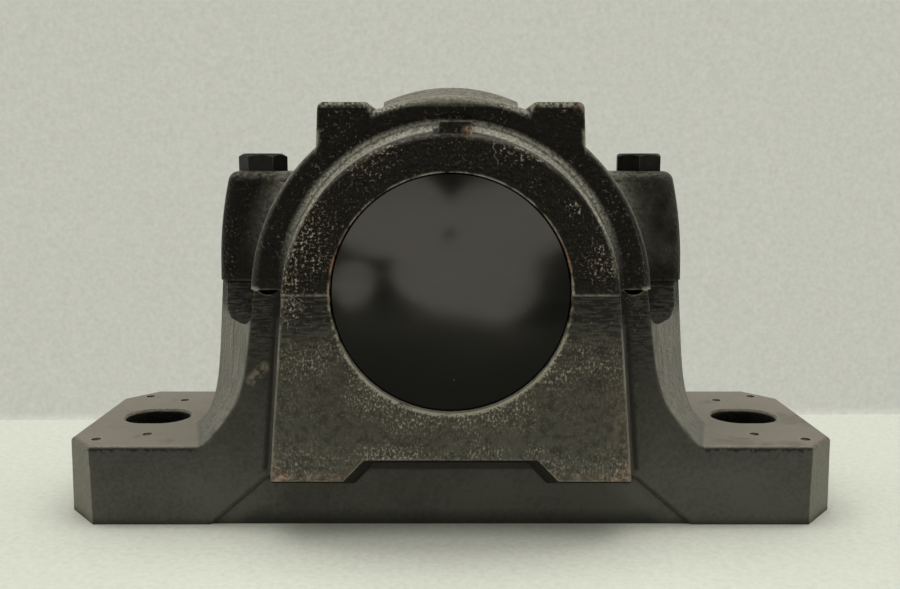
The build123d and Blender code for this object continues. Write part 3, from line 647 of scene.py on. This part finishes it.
def rubber(name, color, dusty):
    made, s = material(name)
    place = s.place()
    dust = s.span(s.noise(place, 120.0, 5.0, 0.65), 0.48, 0.75)
    tone = s.blend(s.product(dust, 0.6), color, dusty)
    fine = s.noise(place, 1500.0, 2.0)
    s.surface(Base_Color=tone, Roughness=s.span(dust, 0.0, 1.0, 0.48, 0.75),
              Normal=s.bump(fine, 0.2, 0.0001))
    return made


dress(casting(), "base", "cap")
dress(gloss_cover(), "end_cover")
dress(bolt_steel(), "cap_bolts", "grease_plug")

balls = [name for name in nodes if name.startswith("ball_")]
for name, color, dark, rough, turned, pieces in (
        ("ground_steel", rgb(0.50, 0.50, 0.50), rgb(0.30, 0.29, 0.27), 0.20, 0.0, ["dowel_pins"]),
        ("ball_steel", rgb(0.66, 0.66, 0.67), rgb(0.50, 0.49, 0.46), 0.05, 0.0, balls),
        ("bearing_steel", rgb(0.60, 0.60, 0.61), rgb(0.42, 0.41, 0.38), 0.16, 0.5,
         ["outer_ring", "inner_ring"]),
        ("cage_steel", rgb(0.42, 0.40, 0.36), rgb(0.26, 0.24, 0.20), 0.30, 0.0, ["cage"]),
        ("sleeve_steel", rgb(0.36, 0.36, 0.36), rgb(0.20, 0.19, 0.17), 0.26, 1.0,
         ["adapter_sleeve", "lock_nut"]),
        ("washer_steel", rgb(0.33, 0.33, 0.34), rgb(0.22, 0.21, 0.20), 0.30, 0.0, ["lock_washer"]),
        ("ring_iron", rgb(0.30, 0.30, 0.30), rgb(0.17, 0.16, 0.15), 0.32, 1.0,
         ["locating_ring_front", "locating_ring_rear"])):
    dress(steel(name, color, dark, rough, turned), *pieces)

seal_rubber = rubber("seal_rubber", rgb(0.018, 0.018, 0.020), rgb(0.085, 0.080, 0.070))
ring_rubber = rubber("ring_rubber", rgb(0.012, 0.012, 0.012), rgb(0.050, 0.048, 0.044))
dress(seal_rubber, "seal_lower", "seal_upper")
dress(ring_rubber, "end_cover_ring")

# ---------------------------------------------------------------- stage
REACH = 3.0             # half the width of the floor, and the height of the wall
WALL_LEFT_Y = 0.035     # the wall stands slightly askew behind the block, as in the photo
WALL_RIGHT_Y = 0.1835


def foam(s, vector):
    """Fine cells of a foam sheet, near 1."""
    fine = s.span(s.noise(vector, 420.0, 3.0, 0.6), 0.25, 0.75, 0.915, 1.065)
    return s.total(fine, s.span(s.cells(vector, 230.0), 0.0, 0.6, -0.022, 0.022))


def plane(name, corners, material):
    mesh = bpy.data.meshes.new(name)
    mesh.from_pydata(corners, [], [(0, 1, 2, 3)])
    mesh.materials.append(material)
    made = bpy.data.objects.new(name, mesh)
    scene.collection.objects.link(made)
    return made


def floor_foam():
    """Pale foam, a little paler just before the block and at its foot: a painted pool of light that softens
    the block's shadow.
    """
    made, s = material("floor")
    place = s.place()
    # painted pool of light that softens the block's shadow
    light_pool = s.near(place, (0.0, -0.105, 0.0), 0.03, 0.18)
    light_pool_at_block = s.near(place, (0.0, WALL_Y, 0.0), 0.06, 0.06)
    level = s.span(s.total(light_pool, s.product(light_pool_at_block, 0.45)), 0.0, 1.0, 0.89, 1.07)
    s.surface(Base_Color=s.tinted(PALE_FLOOR, s.product(foam(s, place), level)), Roughness=0.75,
              Specular_IOR_Level=0.2, Normal=s.bump(s.cells(place, 260.0), 0.25, 0.0004))
    return made


def wall_foam():
    """The same foam as an evenly lit backdrop, paler at its foot and clear from behind."""
    made, s = material("wall")
    place = s.place()
    foot = s.span(s.axes(place)[2], 0.0, 0.005, 1.16, 1.0, smooth=True)
    glow = s.node("ShaderNodeEmission")
    s.feed(glow.inputs["Color"], s.tinted(PALE_WALL, s.product(foam(s, place), foot)))
    clear = s.node("ShaderNodeBsdfTransparent")
    from_behind = s.node("ShaderNodeNewGeometry").outputs["Backfacing"]
    s.output("ShaderNodeOutputMaterial", s.mixed(from_behind, glow.outputs[0], clear.outputs[0]))
    return made


plane("floor", [(-REACH, -REACH, 0), (REACH, -REACH, 0), (REACH, REACH, 0), (-REACH, REACH, 0)],
      floor_foam())
wall = plane("wall", [(-REACH, WALL_LEFT_Y, 0), (REACH, WALL_RIGHT_Y, 0),
                      (REACH, WALL_RIGHT_Y, REACH), (-REACH, WALL_LEFT_Y, REACH)], wall_foam())
# the wall neither lights nor shades the object
wall.visible_diffuse = False
wall.visible_shadow = False


# ---------------------------------------------------------------- light
def room_light():
    """A soft room, brighter behind, above and at the sides. The camera sees the wall's colour."""
    world = bpy.data.worlds.new("room")
    scene.world = world
    s = Shader(world)
    direction = s.axes(s.node("ShaderNodeTexCoord").outputs["Generated"])
    behind = s.span(direction[1], -0.6, 0.4, 0.0, 0.55)
    above = s.span(direction[2], 0.35, 0.85, 0.0, 0.50)
    sides = s.span(s.size(direction[0]), 0.35, 0.90, 0.0, 0.42)
    room = s.node("ShaderNodeBackground")
    s.feed(room.inputs["Color"], s.tinted(ROOM_TINT, s.total(behind, above, sides)))
    shown = s.node("ShaderNodeBackground")
    s.feed(shown.inputs["Color"], PALE_WALL)
    to_camera = s.node("ShaderNodeLightPath").outputs["Is Camera Ray"]
    s.output("ShaderNodeOutputWorld", s.mixed(to_camera, room.outputs[0], shown.outputs[0]))


def lamp(name, place, tilt, size, power, tint, shape="RECTANGLE"):
    """An area lamp that the camera doesn't see. tilt 0 shines down, 90 degrees to the back."""
    light = bpy.data.lights.new(name, "AREA")
    light.shape = shape
    light.size, light.size_y = size
    light.energy = power
    light.color = tint
    made = bpy.data.objects.new(name, light)
    made.location = place
    made.rotation_euler = (radians(tilt), 0.0, 0.0)
    made.visible_camera = False
    scene.collection.objects.link(made)


room_light()
COOL_WHITE = (1.0, 0.99, 0.95)
lamp("overhead", (0.0, -0.02, 0.95), 0, (1.3, 0.9), 2.0, COOL_WHITE)
lamp("tubes", (0.0, 0.05, 0.90), 0, (1.1, 0.16), 2.8, COOL_WHITE)

# faint cards before the block, for the soft reflections in the cover: x, z, width and height
CARD_Y = -0.55
CARD_POWER = 15.5       # watts per square metre
CARD_TINT = (1.0, 0.95, 0.78)
for name, x, z, width, height in (("card_left", -0.052, 0.097, 0.118, 0.090),
                                  ("card_right", 0.062, 0.095, 0.118, 0.094),
                                  ("card_low", 0.014, 0.034, 0.130, 0.076),
                                  ("card_spot", -0.090, 0.028, 0.045, 0.045)):
    lamp(name, (x, CARD_Y, z), 90, (width, height), CARD_POWER * width * height, CARD_TINT, "ELLIPSE")

# ---------------------------------------------------------------- camera, at the photo's view
FOCAL_PIXELS = 905.59
PHOTO_PIXELS = 900.0    # width of the photo
SENSOR_MM = 36.0
PITCH = 8.348           # degrees below the horizon

camera = bpy.data.cameras.new("camera")
camera.sensor_width = SENSOR_MM
camera.lens = SENSOR_MM * FOCAL_PIXELS / PHOTO_PIXELS
camera.clip_start = 0.01
camera_object = bpy.data.objects.new("camera", camera)
scene.collection.objects.link(camera_object)
camera_object.location = (-0.00031, -0.390685, 0.143893)
camera_object.rotation_euler = (radians(90.0 - PITCH), 0.0, 0.0)
scene.camera = camera_object

scene.view_settings.view_transform = "Standard"
